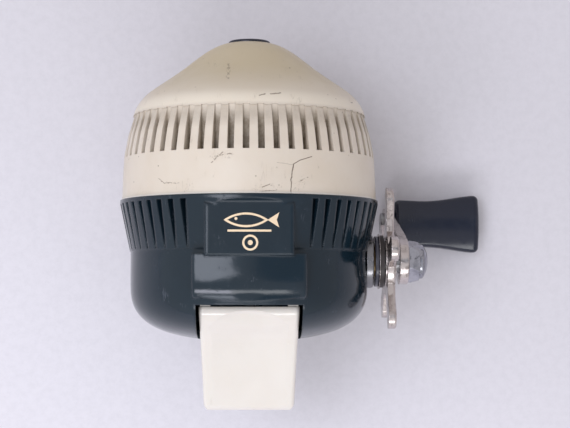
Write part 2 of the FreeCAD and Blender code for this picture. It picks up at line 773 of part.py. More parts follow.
def star_arm(angle_deg):
    """One arm, narrow at the waist and round at the tip, drawn along +Y."""
    waist = 2.3
    tip = 3.1
    outline = [(0, -4.6), (7.0, -waist - 1.0), (11.0, -waist), (star_tip_radius - tip, -tip),
               (star_tip_radius - tip, tip), (11.0, waist), (7.0, waist + 1.0), (0, 4.6)]
    x0 = star_inner_x + star_plate_step
    points = [vec(x0, crank_y + y, axis_height + z) for y, z in outline]
    arm = face_of(points).extrude(vec(star_plate_thickness, 0, 0))
    end = along_x(tip, x0, x0 + star_plate_thickness, crank_y + star_tip_radius - tip)
    return about_crank(arm.fuse(end).removeSplitter(), angle_deg)


def star_wheel():
    """Flat five-armed wheel with soft edges and a thicker hub."""
    arms = [star_arm(star_first_arm_deg + 360.0 * index / star_arms) for index in range(star_arms)]
    x0 = star_inner_x + star_plate_step
    x1 = x0 + star_plate_thickness
    flat = along_x(8.6, x0, x1).fuse(arms).removeSplitter()
    flat = rounded(flat, 0.6, lambda edge: abs(edge.BoundBox.Center.x - x1) < 0.01)
    wheel = flat.fuse(along_x(6.4, star_inner_x, star_outer_x)).removeSplitter()
    return wheel.cut(along_x(crank_shaft_radius + 0.06, 34, 38))


def crank_arm():
    """Strap, wider at the hub than at the knob, where it sets in towards the body."""
    length = math.hypot(knob_forward, knob_below)
    x0 = crank_arm_inner_x
    x1 = crank_arm_inner_x + crank_arm_thickness
    bends = (crank_hub_radius + 1.0, length - crank_tip_radius - 1.5)
    side = [(x0, -10.0), (x0, bends[0]), (x0 - crank_arm_set_in, bends[1]), (x0 - crank_arm_set_in, length + 10.0)]
    side += [(x + crank_arm_thickness, reach) for x, reach in side[::-1]]
    strap = face_of([vec(x, crank_y - 10.0, axis_height - reach) for x, reach in side]).extrude(vec(0, 20.0, 0))
    plan_points = [vec(x0 - 5.0, crank_y + y, axis_height - reach)
                   for reach, y in [(0, -crank_hub_radius), (length, -crank_tip_radius),
                                    (length, crank_tip_radius), (0, crank_hub_radius)]]
    plan = face_of(plan_points).extrude(vec(10.0, 0, 0))
    plan = plan.fuse([along_x(crank_hub_radius, x0 - 5.0, x0 + 5.0),
                      along_x(crank_tip_radius, x0 - 5.0, x0 + 5.0, crank_y, axis_height - length)])
    arm = about_crank(strap.common(plan.removeSplitter()), math.degrees(math.atan2(knob_forward, knob_below)))
    arm = rounded(arm, 0.4, lambda edge: edge.BoundBox.YLength > 0.5 and is_strap_rim(edge))
    return arm.cut([along_x(crank_shaft_radius, x0 - 1, x1 + 1),
                    along_x(knob_pin_radius, x0 - 3, x1 + 1, knob_y, knob_z)])


def is_strap_rim(edge):
    """Edges of the arm's outline on its outer face."""
    face_x = crank_arm_inner_x + crank_arm_thickness
    return edge.BoundBox.XMin > knob_seat_x - 0.01 and edge.BoundBox.XMax < face_x + 0.01


def acorn_nut():
    """Hexagon with its outer corners turned down, and a low domed cap."""
    face_x = crank_arm_inner_x + crank_arm_thickness
    cap_radius = 4.45
    dome_radius = 7.6
    base = hexagon_x(nut_across_flats, face_x, nut_shoulder_x, crank_y, axis_height, nut_turn_deg)
    cone = Part.makeCone(5.7, 4.95, nut_shoulder_x - face_x, vec(face_x, crank_y, axis_height), X_AXIS)
    cap = along_x(cap_radius, nut_shoulder_x - 0.5, nut_top_x).common(
        Part.makeSphere(dome_radius, vec(nut_top_x - dome_radius, crank_y, axis_height)))
    cap = rounded(cap, 0.7, lambda edge: isinstance(edge.Curve, Part.Circle)
                  and edge.BoundBox.Center.x > nut_shoulder_x)
    nut = base.common(cone).fuse(cap)
    return nut.cut(along_x(crank_shaft_radius, 40, 43.4)).removeSplitter()


def knob_pin():
    face_x = knob_seat_x - crank_arm_thickness
    rivet = along_x(3.1, face_x - 0.9, face_x, knob_y, knob_z)
    rivet = rounded(rivet, 0.4, lambda edge: edge.BoundBox.XMax < face_x - 0.5)
    stem = along_x(knob_pin_radius, face_x, knob_pin_end_x, knob_y, knob_z)
    return rivet.fuse(stem).removeSplitter()


def knob_washer():
    disc = along_x(3.6, knob_seat_x, knob_seat_x + 0.3, knob_y, knob_z)
    return disc.cut(along_x(knob_pin_radius, knob_seat_x - 1, knob_seat_x + 1, knob_y, knob_z))


def knob():
    """Paddle grip, waisted a third of the way out; it turns freely on the pin."""
    outer = knob_inner_x + knob_length
    stations = [(knob_inner_x, 6.7), (knob_inner_x + 4.0, 6.55), (knob_inner_x + 8.7, 6.4),
                (knob_inner_x + 13.6, 6.8), (knob_inner_x + 18.7, 7.6), (outer, 8.0)]
    upper = [vec(x, knob_y + half, knob_z) for x, half in stations]
    lower = [vec(x, knob_y - half, knob_z) for x, half in stations]
    upper_curve = Part.BSplineCurve()
    upper_curve.interpolate(upper)
    lower_curve = Part.BSplineCurve()
    lower_curve.interpolate(lower[::-1])
    edges = [upper_curve.toShape(), Part.makeLine(upper[-1], lower[-1]), lower_curve.toShape(),
             Part.makeLine(lower[0], upper[0])]
    grip = Part.Face(Part.Wire(edges)).extrude(vec(0, 0, knob_thickness))
    grip.translate(vec(0, 0, -knob_thickness / 2))
    drop = knob_crown_radius - knob_thickness / 2
    for side in (-1, 1):
        grip = grip.common(along_x(knob_crown_radius, knob_inner_x - 1, outer + 1, knob_y,
                                   knob_z + side * drop))
    grip = grip.makeFillet(1.5, grip.Edges)
    return grip.cut(along_x(knob_pin_radius + 0.06, knob_inner_x - 1, knob_pin_end_x + 0.6, knob_y, knob_z))


# ---------------------------------------------------------------- foot

def foot():
    """Rod-seat foot: tapered plate, waisted stem and the flange that carries the body."""
    half = foot_length / 2
    side = [vec(0, -half, 0), vec(0, half, 0), vec(0, half, 1.1), vec(0, 9.5, 2.4),
            vec(0, -9.5, 2.4), vec(0, -half, 1.1)]
    plate = face_of(side).extrude(vec(foot_width, 0, 0))
    plate.translate(vec(-foot_width / 2, 0, 0))
    plan = box(-foot_width / 2, foot_width / 2, -half, half, -1, 4)
    plan = rounded(plan, 6.0, lambda edge: edge.BoundBox.ZLength > 4.9)
    plate = plate.common(plan)
    stem = box(-4.2, 4.2, -12.0, 9.0, 1.5, 8.0)
    flange = box(-9.3, 9.3, -14.6, 10.8, 7.6, foot_seat_z)
    flange = rounded(flange, 2.5, lambda edge: abs(edge.BoundBox.ZLength - foot_seat_z + 7.6) < 0.01
                     and edge.BoundBox.XLength < 0.01)
    shape = plate.fuse([stem, flange]).removeSplitter()
    holes = [Part.makeCylinder(1.05, 4, vec(x, y, 7)) for x, y in foot_screw_places()]
    return shape.cut(holes)


def foot_screws():
    screws = []
    for x, y in foot_screw_places():
        stem = Part.makeCylinder(1.05, 5.6, vec(x, y, 7.6))
        head = Part.makeCylinder(1.9, 1.0, vec(x, y, 6.6))
        screws.append(stem.fuse(head).removeSplitter())
    return Part.makeCompound(screws)


nodes = {
    "front_cover": front_cover,
    "line_guide_ring": line_guide_ring,
    "rear_housing": rear_housing,
    "panel_emblem": panel_emblem,
    "thumb_button": thumb_button,
    "thumb_pivot_pin": thumb_pivot_pin,
    "deck_plate": deck_plate,
    "deck_screws": deck_screws,
    "pinion_bushing": pinion_bushing,
    "pawl_bracket": pawl_bracket,
    "pawl_pin": pawl_pin,
    "anti_reverse_pawl": anti_reverse_pawl,
    "spool": spool,
    "spool_clip": spool_clip,
    "pickup_cam": pickup_cam,
    "pinion": pinion,
    "center_shaft": center_shaft,
    "shaft_clip": shaft_clip,
    "return_spring": return_spring,
    "spinner_head": spinner_head,
    "spinner_nut": spinner_nut,
    "pickup_pin": pickup_pin,
    "drive_gear": drive_gear,
    "drag_washers": drag_washers,
    "ratchet_wheel": ratchet_wheel,
    "spring_washer": spring_washer,
    "crank_shaft": crank_shaft,
    "drag_sleeve": drag_sleeve,
    "crank_bushing": crank_bushing,
    "drag_collar": drag_collar,
    "plate_washer": plate_washer,
    "thrust_washer": thrust_washer,
    "star_wheel": star_wheel,
    "crank_arm": crank_arm,
    "acorn_nut": acorn_nut,
    "knob_pin": knob_pin,
    "knob_washer": knob_washer,
    "knob": knob,
    "foot": foot,
    "foot_screws": foot_screws,
}

os.makedirs("parts", exist_ok=True)
for name, make in nodes.items():
    shape = make()
    if not shape.isValid() or len(shape.Solids) < 1:
        raise ValueError(name + " is not a valid solid")
    shape.exportStep("parts/" + name + ".step")
    bounds = shape.BoundBox
    print(name, len(shape.Solids), round(shape.Volume, 1),
          [round(value, 2) for value in (bounds.XMin, bounds.XMax, bounds.YMin, bounds.YMax,
                                         bounds.ZMin, bounds.ZMax)])
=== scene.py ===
"""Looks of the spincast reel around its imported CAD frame.

Every CAD node keeps its shape and gets a procedural material. Lengths are in metres,
in the row frame: +X to the crank, +Y forward along the spool axis, +Z up.
"""

import json
import math

import bpy
from mathutils import Matrix, Quaternion, Vector


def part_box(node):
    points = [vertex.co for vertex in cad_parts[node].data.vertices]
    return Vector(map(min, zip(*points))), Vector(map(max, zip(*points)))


MM = 0.001

# Where the front cover's tones change, in millimetres ahead of its seam with the rear housing.
# Each pair is the start and end of a smooth step.
# A painted highlight along the seam's edge.
RIM_HIGHLIGHT = (0.15, 0.6)
SLOTS_REAR_END = (10.2, 10.9)
# The slots' dirt and painted shade fade out over this step.
SLOT_DIRT_AND_SHADE_FADES = (17.0, 23.0)
SHOULDER_STARTS = (21.6, 22.6)
SHOULDER_ENDS = (23.6, 26.0)
CONE_TONE = (22.0, 33.0)
# From the slots' floors out to the ribs' tops, in millimetres from the spool axis.
SLOT_DEPTH = (29.2, 31.3)
# Where drawn marks fade in on the cover's upper side, in millimetres above the foot's underside.
UPPER_SIDE = (48.0, 50.0)

# Linear colours of the room's walls by the window, of its far side and of the patch overhead.
ROOM_LIGHT = (0.88, 0.88, 0.91)
ROOM_SHADE = (0.64, 0.61, 0.62)
OVERHEAD = (0.36, 0.40, 0.46)

LENS_MM = 101.05
SENSOR_WIDTH_MM = 36.0
CAMERA_X, CAMERA_Y, CAMERA_ABOVE_AXIS = -0.6 * MM, -11.3 * MM, 410.9 * MM
TARGET_X, TARGET_Y = 9.2 * MM, 10.8 * MM

FLOOR_HALF_WIDTH = 1.5
FLOOR_DROP = 0.05 * MM


def srgb(*levels):
    """Linear colour from three sRGB levels, 0 to 255."""
    out = []
    for level in levels:
        share = level / 255.0
        out.append(share / 12.92 if share <= 0.04045 else ((share + 0.055) / 1.055) ** 2.4)
    return tuple(out)


def darker(colour, share):
    """The colour at a share of its brightness."""
    return tuple(part * share for part in colour)


# ---------------------------------------------------------------- node helpers

class Shader:
    """A material under construction: short calls that add and link nodes."""

    def __init__(self, name):
        self.material = bpy.data.materials.new(name)
        self.material.use_nodes = True
        self.tree = self.material.node_tree
        self.tree.nodes.clear()
        output = self.tree.nodes.new("ShaderNodeOutputMaterial")
        self.bsdf = self.tree.nodes.new("ShaderNodeBsdfPrincipled")
        self.tree.links.new(self.bsdf.outputs["BSDF"], output.inputs["Surface"])
        self.place = self.tree.nodes.new("ShaderNodeTexCoord").outputs["Object"]

    def put(self, socket, value):
        """Set a socket to a number or colour, or link it to another node's output."""
        if isinstance(value, bpy.types.NodeSocket):
            self.tree.links.new(value, socket)
        elif isinstance(value, tuple) and len(value) == 3 and len(socket.default_value) == 4:
            socket.default_value = (*value, 1.0)
        else:
            socket.default_value = value

    def set(self, **sockets):
        """Set the main shader's sockets by name, with _ for a space."""
        for name, value in sockets.items():
            self.put(self.bsdf.inputs[name.replace("_", " ")], value)

    def math(self, operation, first, second=0.0, clamp=False):
        """One arithmetic step on numbers or masks."""
        node = self.tree.nodes.new("ShaderNodeMath")
        node.operation = operation
        node.use_clamp = clamp
        self.put(node.inputs[0], first)
        self.put(node.inputs[1], second)
        return node.outputs[0]

    def times(self, value, share):
        """A mask or number scaled by a share, without clamping."""
        return self.math("MULTIPLY", value, share)

    def both(self, first, second):
        """Where two masks overlap."""
        return self.math("MULTIPLY", first, second, clamp=True)

    def either(self, first, *others):
        """The strongest of several masks."""
        for other in others:
            first = self.math("MAXIMUM", first, other)
        return first

    def vector(self, operation, first, second=(0, 0, 0), scale=None):
        """One vector step; lengths, distances and dot products come out as numbers."""
        node = self.tree.nodes.new("ShaderNodeVectorMath")
        node.operation = operation
        self.put(node.inputs[0], first)
        self.put(node.inputs[1], second)
        if scale is not None:
            self.put(node.inputs["Scale"], scale)
        return node.outputs["Value" if operation in ("LENGTH", "DOT_PRODUCT", "DISTANCE") else "Vector"]

    def split(self, vector):
        """The X, Y and Z of a vector."""
        node = self.tree.nodes.new("ShaderNodeSeparateXYZ")
        self.put(node.inputs[0], vector)
        return node.outputs

    def join(self, x, y, z):
        node = self.tree.nodes.new("ShaderNodeCombineXYZ")
        for socket, value in zip(node.inputs, (x, y, z)):
            self.put(socket, value)
        return node.outputs[0]

    def stretch(self, scale, rotation=(0, 0, 0)):
        """Texture place scaled per axis, for streaks and brushed lines."""
        node = self.tree.nodes.new("ShaderNodeMapping")
        self.put(node.inputs["Vector"], self.place)
        node.inputs["Scale"].default_value = scale
        node.inputs["Rotation"].default_value = rotation
        return node.outputs[0]

    def noise(self, scale, detail=4.0, rough=0.55, place=None, warp=0.0):
        """Cloudy noise around 0.5, with scale waves to a metre."""
        node = self.tree.nodes.new("ShaderNodeTexNoise")
        self.put(node.inputs["Vector"], place or self.place)
        node.inputs["Scale"].default_value = scale
        node.inputs["Detail"].default_value = detail
        node.inputs["Roughness"].default_value = rough
        node.inputs["Distortion"].default_value = warp
        return node.outputs["Fac"]

    def cells(self, scale):
        """Distance from scattered points, for specks and pits."""
        node = self.tree.nodes.new("ShaderNodeTexVoronoi")
        node.feature = "F1"
        self.put(node.inputs["Vector"], self.place)
        node.inputs["Scale"].default_value = scale
        return node.outputs["Distance"]

    def band(self, value, low, high, out_low=0.0, out_high=1.0):
        """Smooth step from out_low to out_high as value goes from low to high."""
        node = self.tree.nodes.new("ShaderNodeMapRange")
        node.interpolation_type = "SMOOTHSTEP"
        self.put(node.inputs["Value"], value)
        ends = {"From Min": low, "From Max": high, "To Min": out_low, "To Max": out_high}
        for name, number in ends.items():
            self.put(node.inputs[name], number)
        return node.outputs[0]

    def mix(self, factor, first, second):
        """The first colour where factor is 0, the second where it is 1."""
        node = self.tree.nodes.new("ShaderNodeMix")
        node.data_type = "RGBA"
        self.put(node.inputs["Factor"], factor)
        self.put(node.inputs[6], first)
        self.put(node.inputs[7], second)
        return node.outputs[2]

    def over(self, colour, mask, share, other):
        """The colour with another laid over it, up to a share, where the mask is 1."""
        return self.mix(self.times(mask, share), colour, other)

    def bump(self, height, distance, strength, after=None):
        """Normal tilted by a height field, on top of another normal if one is given."""
        node = self.tree.nodes.new("ShaderNodeBump")
        node.inputs["Distance"].default_value = distance
        node.inputs["Strength"].default_value = strength
        self.put(node.inputs["Height"], height)
        if after is not None:
            self.put(node.inputs["Normal"], after)
        return node.outputs[0]

    def soft_edges(self, radius):
        """Normal that rounds sharp edges, so they catch the light as moulded ones do."""
        node = self.tree.nodes.new("ShaderNodeBevel")
        node.samples = 6
        node.inputs["Radius"].default_value = radius
        return node.outputs[0]

    def scratches(self, scale, turn, keep=0.6):
        """Fine marks: thin iso-lines of a stretched noise, broken up by a second one."""
        streak = self.noise(1.0, 3.0, 0.5, self.stretch((scale, scale * 0.12, scale * 0.12), turn), warp=0.4)
        line = self.band(self.math("ABSOLUTE", self.math("SUBTRACT", streak, 0.5)), 0.0, 0.02, 1.0, 0.0)
        patches = self.band(self.noise(scale * 0.18, 2.0), keep, keep + 0.1)
        return self.both(line, patches)

    def scattered(self, scale, low, high, patch_scale, patch_low, patch_high):
        """Dots that fade out from low to high around scattered points, in patches only."""
        dots = self.band(self.cells(scale), low, high, 1.0, 0.0)
        return self.both(dots, self.band(self.noise(patch_scale, 3.0), patch_low, patch_high))

    def occlusion(self, distance):
        """1 in narrow corners, 0 on open faces: where shade is painted."""
        node = self.tree.nodes.new("ShaderNodeAmbientOcclusion")
        node.samples = 8
        node.inputs["Distance"].default_value = distance
        return self.math("SUBTRACT", 1.0, node.outputs["AO"], clamp=True)

    def segment(self, start, end, width, place):
        """1 within width of the line from start to end, fading to 0."""
        start, end = Vector(start), Vector(end)
        along = end - start
        offset = self.vector("SUBTRACT", place, tuple(start))
        share = self.math("DIVIDE", self.vector("DOT_PRODUCT", offset, tuple(along)), along.length_squared,
                          clamp=True)
        nearest = self.vector("SCALE", tuple(along), scale=share)
        distance = self.vector("DISTANCE", offset, nearest)
        return self.band(distance, width * 0.4, width, 1.0, 0.0)


# ---------------------------------------------------------------- cover markings

def wavy_plan(s, strength):
    """Texture place flattened to X and Y, shaken a little so drawn lines are not straight."""
    x, y, z = s.split(s.place)
    shake = s.times(s.math("SUBTRACT", s.noise(700.0, 3.0), 0.5), strength)
    return s.join(s.math("ADD", x, shake), s.math("ADD", y, s.times(shake, 0.6)), 0.0)


def drawn_lines(s, seam_y, width, place, *paths):
    """Lines through (x, y) points in millimetres, y ahead of the seam, on the upper side only."""
    found = []
    for path in paths:
        points = [(x * MM, seam_y + y * MM, 0) for x, y in path]
        found += [s.segment(start, end, width, place) for start, end in zip(points, points[1:])]
    low, high = UPPER_SIDE
    return s.both(s.either(*found), s.band(s.split(s.place)[2], low * MM, high * MM))


def crack_line(s, seam_y):
    """Hairline from the seam forward; its right fork is plain, its left one faint."""
    place = wavy_plan(s, 0.7 * MM)
    stem = drawn_lines(s, seam_y, 0.17 * MM, place, [(9.9, -0.5), (9.9, 3.3), (10.5, 7.1)])
    right = drawn_lines(s, seam_y, 0.13 * MM, place, [(10.5, 7.1), (12.1, 8.1), (15.0, 9.1)])
    left = drawn_lines(s, seam_y, 0.09 * MM, place, [(10.4, 6.9), (6.5, 7.4)])
    return s.either(stem, right, s.times(left, 0.4))


def handling_marks(s, seam_y):
    """Nicks on the cone, a smear near its nose, and hairs and scribbled rubs on the band."""
    place = wavy_plan(s, 1.8 * MM)
    nicks = drawn_lines(s, seam_y, 0.22 * MM, place,
                        [(2.6, 23.9), (3.6, 24.1)], [(5.0, 24.2), (7.4, 24.5)],
                        [(9.8, 32.1), (10.0, 32.3)], [(25.2, 23.8), (25.5, 23.9)])
    smear = drawn_lines(s, seam_y, 0.5 * MM, place, [(-5.2, 33.0), (-5.3, 28.6)])
    hairs = drawn_lines(s, seam_y, 0.17 * MM, place,
                        [(-9.2, 7.3), (-8.0, 8.5), (-6.0, 10.1)], [(-8.2, 8.9), (-3.7, 9.6)],
                        [(-22.2, 4.0), (-20.4, 2.9), (-17.1, 2.7)], [(1.8, 1.0), (4.9, 2.2)],
                        [(2.6, 0.5), (6.1, 0.6)], [(11.6, 2.8), (13.9, 4.0)])
    rubs = drawn_lines(s, seam_y, 1.5 * MM, place,
                       [(-8.6, 8.6), (-4.6, 9.4)], [(1.5, 1.2), (7.6, 1.4)],
                       [(-15.5, 1.0), (-14.5, 1.6)], [(11.5, 1.6), (13.0, 3.4)])
    scribble = s.band(s.noise(1500.0, 5.0, 0.8, warp=0.8), 0.55, 0.62)
    broken = s.band(s.noise(900.0, 4.0, 0.7), 0.42, 0.52)
    worn = s.both(broken, s.either(s.times(smear, 0.7), hairs))
    return s.either(nicks, worn, s.times(s.both(rubs, scribble), 0.6))


# ---------------------------------------------------------------- materials

def cream_cover(axis_z, seam_y):
    """Aged ivory plastic with dirt and painted shade in the slots, painted shade in narrow corners, a
    painted highlight along the seam's edge, scuffs and a hairline crack on the band.
    """
    s = Shader("ivory_plastic")
    # The brown serves real dirt, specks and scuffs, and also the painted shade in the slots and corners.
    clean, aged, dirt_and_shade_brown = srgb(212, 201, 186), srgb(204, 190, 171), srgb(104, 88, 64)
    x, y, z = s.split(s.place)
    radius = s.vector("LENGTH", s.join(x, 0.0, s.math("SUBTRACT", z, axis_z)))

    def rising(step):
        return s.band(y, seam_y + step[0] * MM, seam_y + step[1] * MM)

    def falling(step):
        return s.band(y, seam_y + step[0] * MM, seam_y + step[1] * MM, 1.0, 0.0)

    mottle = s.band(s.noise(90.0, 5.0, 0.6), 0.35, 0.7)
    colour = s.over(clean, mottle, 0.45, aged)
    colour = s.over(colour, rising(CONE_TONE), 0.85, srgb(188, 172, 138))
    shoulder = s.both(rising(SHOULDER_STARTS), falling(SHOULDER_ENDS))
    colour = s.over(colour, shoulder, 0.6, srgb(230, 220, 202))

    # Dirt and painted shade: slot floors turn brown the deeper they lie, and narrow corners get painted
    # shade from an occlusion mask.
    in_slots = s.both(rising(SLOTS_REAR_END), falling(SLOT_DIRT_AND_SHADE_FADES))
    low, high = SLOT_DEPTH
    deep = s.band(radius, low * MM, high * MM, 1.0, 0.0)
    grime = s.band(s.noise(520.0, 6.0, 0.75), 0.30, 0.70, 0.55, 1.0)
    slot_dirt_and_shade = s.both(s.both(in_slots, deep), grime)
    cover_corner_shade = s.band(s.occlusion(1.8 * MM), 0.30, 0.85)
    dirt_and_shade = s.either(s.times(slot_dirt_and_shade, 0.84), s.times(cover_corner_shade, 0.5))
    colour = s.mix(dirt_and_shade, colour, dirt_and_shade_brown)

    specks = s.scattered(330.0, 0.04, 0.09, 75.0, 0.46, 0.58)
    colour = s.over(colour, specks, 0.75, dirt_and_shade_brown)
    scuff = s.either(s.scratches(1000.0, (0.3, 0.5, 0.9)), s.scratches(1400.0, (1.1, 0.2, 2.1), 0.64))
    colour = s.over(colour, scuff, 0.26, dirt_and_shade_brown)
    crack, marks = crack_line(s, seam_y), handling_marks(s, seam_y)
    colour = s.over(colour, crack, 0.85, srgb(70, 54, 42))
    colour = s.over(colour, marks, 0.75, srgb(112, 98, 82))
    # Painted highlight: a pale line along the cover's rear edge at the seam.
    colour = s.over(colour, falling(RIM_HIGHLIGHT), 0.6, srgb(244, 240, 232))

    rough = s.band(s.noise(150.0, 4.0), 0.3, 0.7, 0.36, 0.50)
    rough = s.math("ADD", rough, s.times(dirt_and_shade, 0.35), clamp=True)
    fine = s.bump(s.noise(1500.0, 3.0), 0.02 * MM, 0.25, s.soft_edges(0.25 * MM))
    cuts = s.bump(s.either(scuff, crack, marks), -0.03 * MM, 0.6, fine)
    s.set(Base_Color=colour, Roughness=rough, Normal=cuts, Subsurface_Weight=0.05,
          Subsurface_Radius=(0.9, 0.6, 0.4), Subsurface_Scale=1.2 * MM,
          Coat_Weight=0.1, Coat_Roughness=0.28, IOR=1.5)
    return s.material


def button_cream():
    """Cleaner, glossier ivory plastic of the thumb button, with painted shade in its corners."""
    s = Shader("ivory_button")
    mottle = s.band(s.noise(70.0, 4.0), 0.35, 0.7)
    colour = s.over(srgb(216, 210, 201), mottle, 0.5, srgb(211, 203, 192))
    # Painted shade in the button's corners, from an occlusion mask.
    corner_shade = s.band(s.occlusion(1.5 * MM), 0.4, 1.0)
    colour = s.over(colour, corner_shade, 0.6, srgb(122, 106, 84))
    scuff = s.either(s.scratches(900.0, (0.1, 0.3, 1.4)), s.scratches(1200.0, (0.7, 0.4, 0.4), 0.64))
    colour = s.over(colour, scuff, 0.12, srgb(150, 136, 118))
    rough = s.math("ADD", s.band(s.noise(120.0, 4.0), 0.3, 0.7, 0.14, 0.24), s.times(scuff, 0.2))
    wave = s.bump(s.noise(260.0, 3.0), 0.03 * MM, 0.3, s.soft_edges(0.3 * MM))
    s.set(Base_Color=colour, Roughness=rough, Normal=s.bump(scuff, -0.02 * MM, 0.5, wave),
          Subsurface_Weight=0.05, Subsurface_Radius=(0.9, 0.6, 0.4), Subsurface_Scale=1.2 * MM,
          Coat_Weight=0.7, Coat_Roughness=0.07, IOR=1.5)
    return s.material


def dark_housing():
    """Blue-black gloss plastic with dust, fine scratches, pits and a slightly wavy surface."""
    s = Shader("dark_gloss_plastic")
    mottle = s.band(s.noise(110.0, 5.0), 0.4, 0.75, 0.0, 0.5)
    colour = s.mix(mottle, srgb(17, 33, 43), srgb(24, 40, 51))
    dust = s.both(s.band(s.noise(900.0, 6.0, 0.75), 0.54, 0.75), s.band(s.noise(70.0, 3.0), 0.45, 0.7))
    colour = s.over(colour, dust, 0.22, srgb(84, 90, 104))
    scuff = s.either(s.scratches(1000.0, (0.2, 0.4, 0.7), 0.62), s.scratches(1500.0, (0.9, 0.1, 2.4), 0.64))
    colour = s.over(colour, scuff, 0.24, srgb(96, 102, 116))
    pits = s.scattered(700.0, 0.06, 0.16, 130.0, 0.52, 0.62)
    rough = s.band(s.noise(180.0, 5.0, 0.6), 0.3, 0.75, 0.11, 0.18)
    rough = s.math("ADD", rough, s.times(s.either(dust, scuff), 0.2), clamp=True)
    wave = s.bump(s.noise(240.0, 3.0), 0.06 * MM, 0.55, s.soft_edges(0.8 * MM))
    peel = s.bump(s.noise(1100.0, 3.0, 0.6), 0.012 * MM, 0.5, wave)
    s.set(Base_Color=colour, Roughness=rough, Normal=s.bump(s.either(scuff, pits), -0.03 * MM, 0.6, peel),
          IOR=1.43)
    return s.material


def plated(name, tint, stain, worn, low, high):
    """Plated metal gone dull and stained in patches, with pits, scratches and painted shade in its corners.

    The larger worn is, the more stain shows. Roughness goes from low to high in patches.
    """
    s = Shader(name)
    stain = srgb(*stain)
    patch = s.band(s.noise(160.0, 5.0, 0.65, warp=0.6), 0.46, 0.68)
    colour = s.over(srgb(*tint), patch, worn * 0.5, stain)
    smudge = s.band(s.noise(420.0, 6.0, 0.7, warp=1.2), 0.54, 0.66)
    colour = s.over(colour, smudge, worn, stain)
    pits = s.scattered(1300.0, 0.08, 0.22, 220.0, 0.5, 0.62)
    colour = s.over(colour, pits, 0.7, srgb(70, 56, 46))
    # Painted shade in the metal's corners, from an occlusion mask.
    corner_shade = s.band(s.occlusion(1.2 * MM), 0.4, 1.0)
    colour = s.over(colour, corner_shade, 0.6, srgb(58, 48, 40))
    scuff = s.either(s.scratches(1400.0, (0.2, 0.9, 0.3)), s.scratches(1100.0, (1.3, 0.3, 1.2)))
    rough = s.band(s.noise(240.0, 4.0), 0.3, 0.7, low, high)
    rough = s.math("ADD", rough, s.times(s.either(pits, scuff), 0.3), clamp=True)
    wave = s.bump(s.noise(260.0, 3.0), 0.16 * MM, 0.5, s.soft_edges(0.3 * MM))
    s.set(Base_Color=colour, Metallic=1.0, Roughness=rough,
          Normal=s.bump(s.either(pits, scuff), -0.03 * MM, 0.6, wave))
    return s.material


def turned(name, tint, low=0.28, high=0.45):
    """Machined metal with fine turning lines across X."""
    s = Shader(name)
    fine = s.noise(1.0, 3.0, 0.6, s.stretch((300, 2500, 2500)))
    mottle = s.band(s.noise(300.0, 4.0), 0.4, 0.7, 0.0, 0.5)
    colour = s.mix(mottle, srgb(*tint), darker(srgb(*tint), 0.6))
    s.set(Base_Color=colour, Metallic=1.0, Roughness=s.band(fine, 0.3, 0.7, low, high),
          Normal=s.bump(fine, 0.015 * MM, 0.4))
    return s.material


def cast_zinc(name, tint):
    """Grainy die-cast metal."""
    s = Shader(name)
    grain = s.noise(700.0, 5.0, 0.7)
    mottle = s.band(s.noise(180.0, 4.0), 0.35, 0.7)
    colour = s.mix(mottle, srgb(*tint), darker(srgb(*tint), 0.65))
    s.set(Base_Color=colour, Metallic=0.9, Roughness=s.band(grain, 0.3, 0.7, 0.4, 0.6),
          Normal=s.bump(grain, 0.04 * MM, 0.5))
    return s.material


def moulded(name, tint, low=0.4, high=0.55):
    """Plain moulded plastic or pressed fibre with a fine grain."""
    s = Shader(name)
    grain = s.noise(900.0, 4.0, 0.6)
    mottle = s.band(s.noise(140.0, 4.0), 0.35, 0.7)
    colour = s.mix(mottle, srgb(*tint), darker(srgb(*tint), 0.75))
    s.set(Base_Color=colour, Roughness=s.band(grain, 0.3, 0.7, low, high),
          Normal=s.bump(grain, 0.03 * MM, 0.5))
    return s.material


def black_knob():
    """Dark hard plastic of the crank knob, handled dull in places."""
    s = Shader("black_knob_plastic")
    worn = s.band(s.noise(200.0, 5.0, 0.7), 0.5, 0.75)
    scuff = s.either(s.scratches(900.0, (0.2, 0.2, 0.5), 0.62), s.scratches(1300.0, (0.4, 0.9, 1.9), 0.64))
    colour = s.over(srgb(9, 17, 37), s.either(scuff, s.times(worn, 0.3)), 0.25, srgb(84, 86, 92))
    rough = s.math("ADD", s.band(s.noise(260.0, 4.0), 0.3, 0.7, 0.16, 0.26), s.times(scuff, 0.25))
    wave = s.bump(s.noise(300.0, 3.0), 0.05 * MM, 0.35, s.soft_edges(0.3 * MM))
    s.set(Base_Color=colour, Roughness=rough, Normal=s.bump(scuff, -0.02 * MM, 0.6, wave), IOR=1.50)
    return s.material


def gold_foil():
    """Hot-stamped gold of the panel's emblem, rubbed brown in spots."""
    s = Shader("gold_foil")
    rub = s.band(s.noise(900.0, 5.0, 0.7), 0.55, 0.72)
    colour = s.over(srgb(232, 208, 176), rub, 0.5, srgb(132, 104, 74))
    s.set(Base_Color=colour, Metallic=0.5, Roughness=s.band(rub, 0.0, 1.0, 0.32, 0.5),
          Normal=s.bump(rub, -0.02 * MM, 0.4))
    return s.material


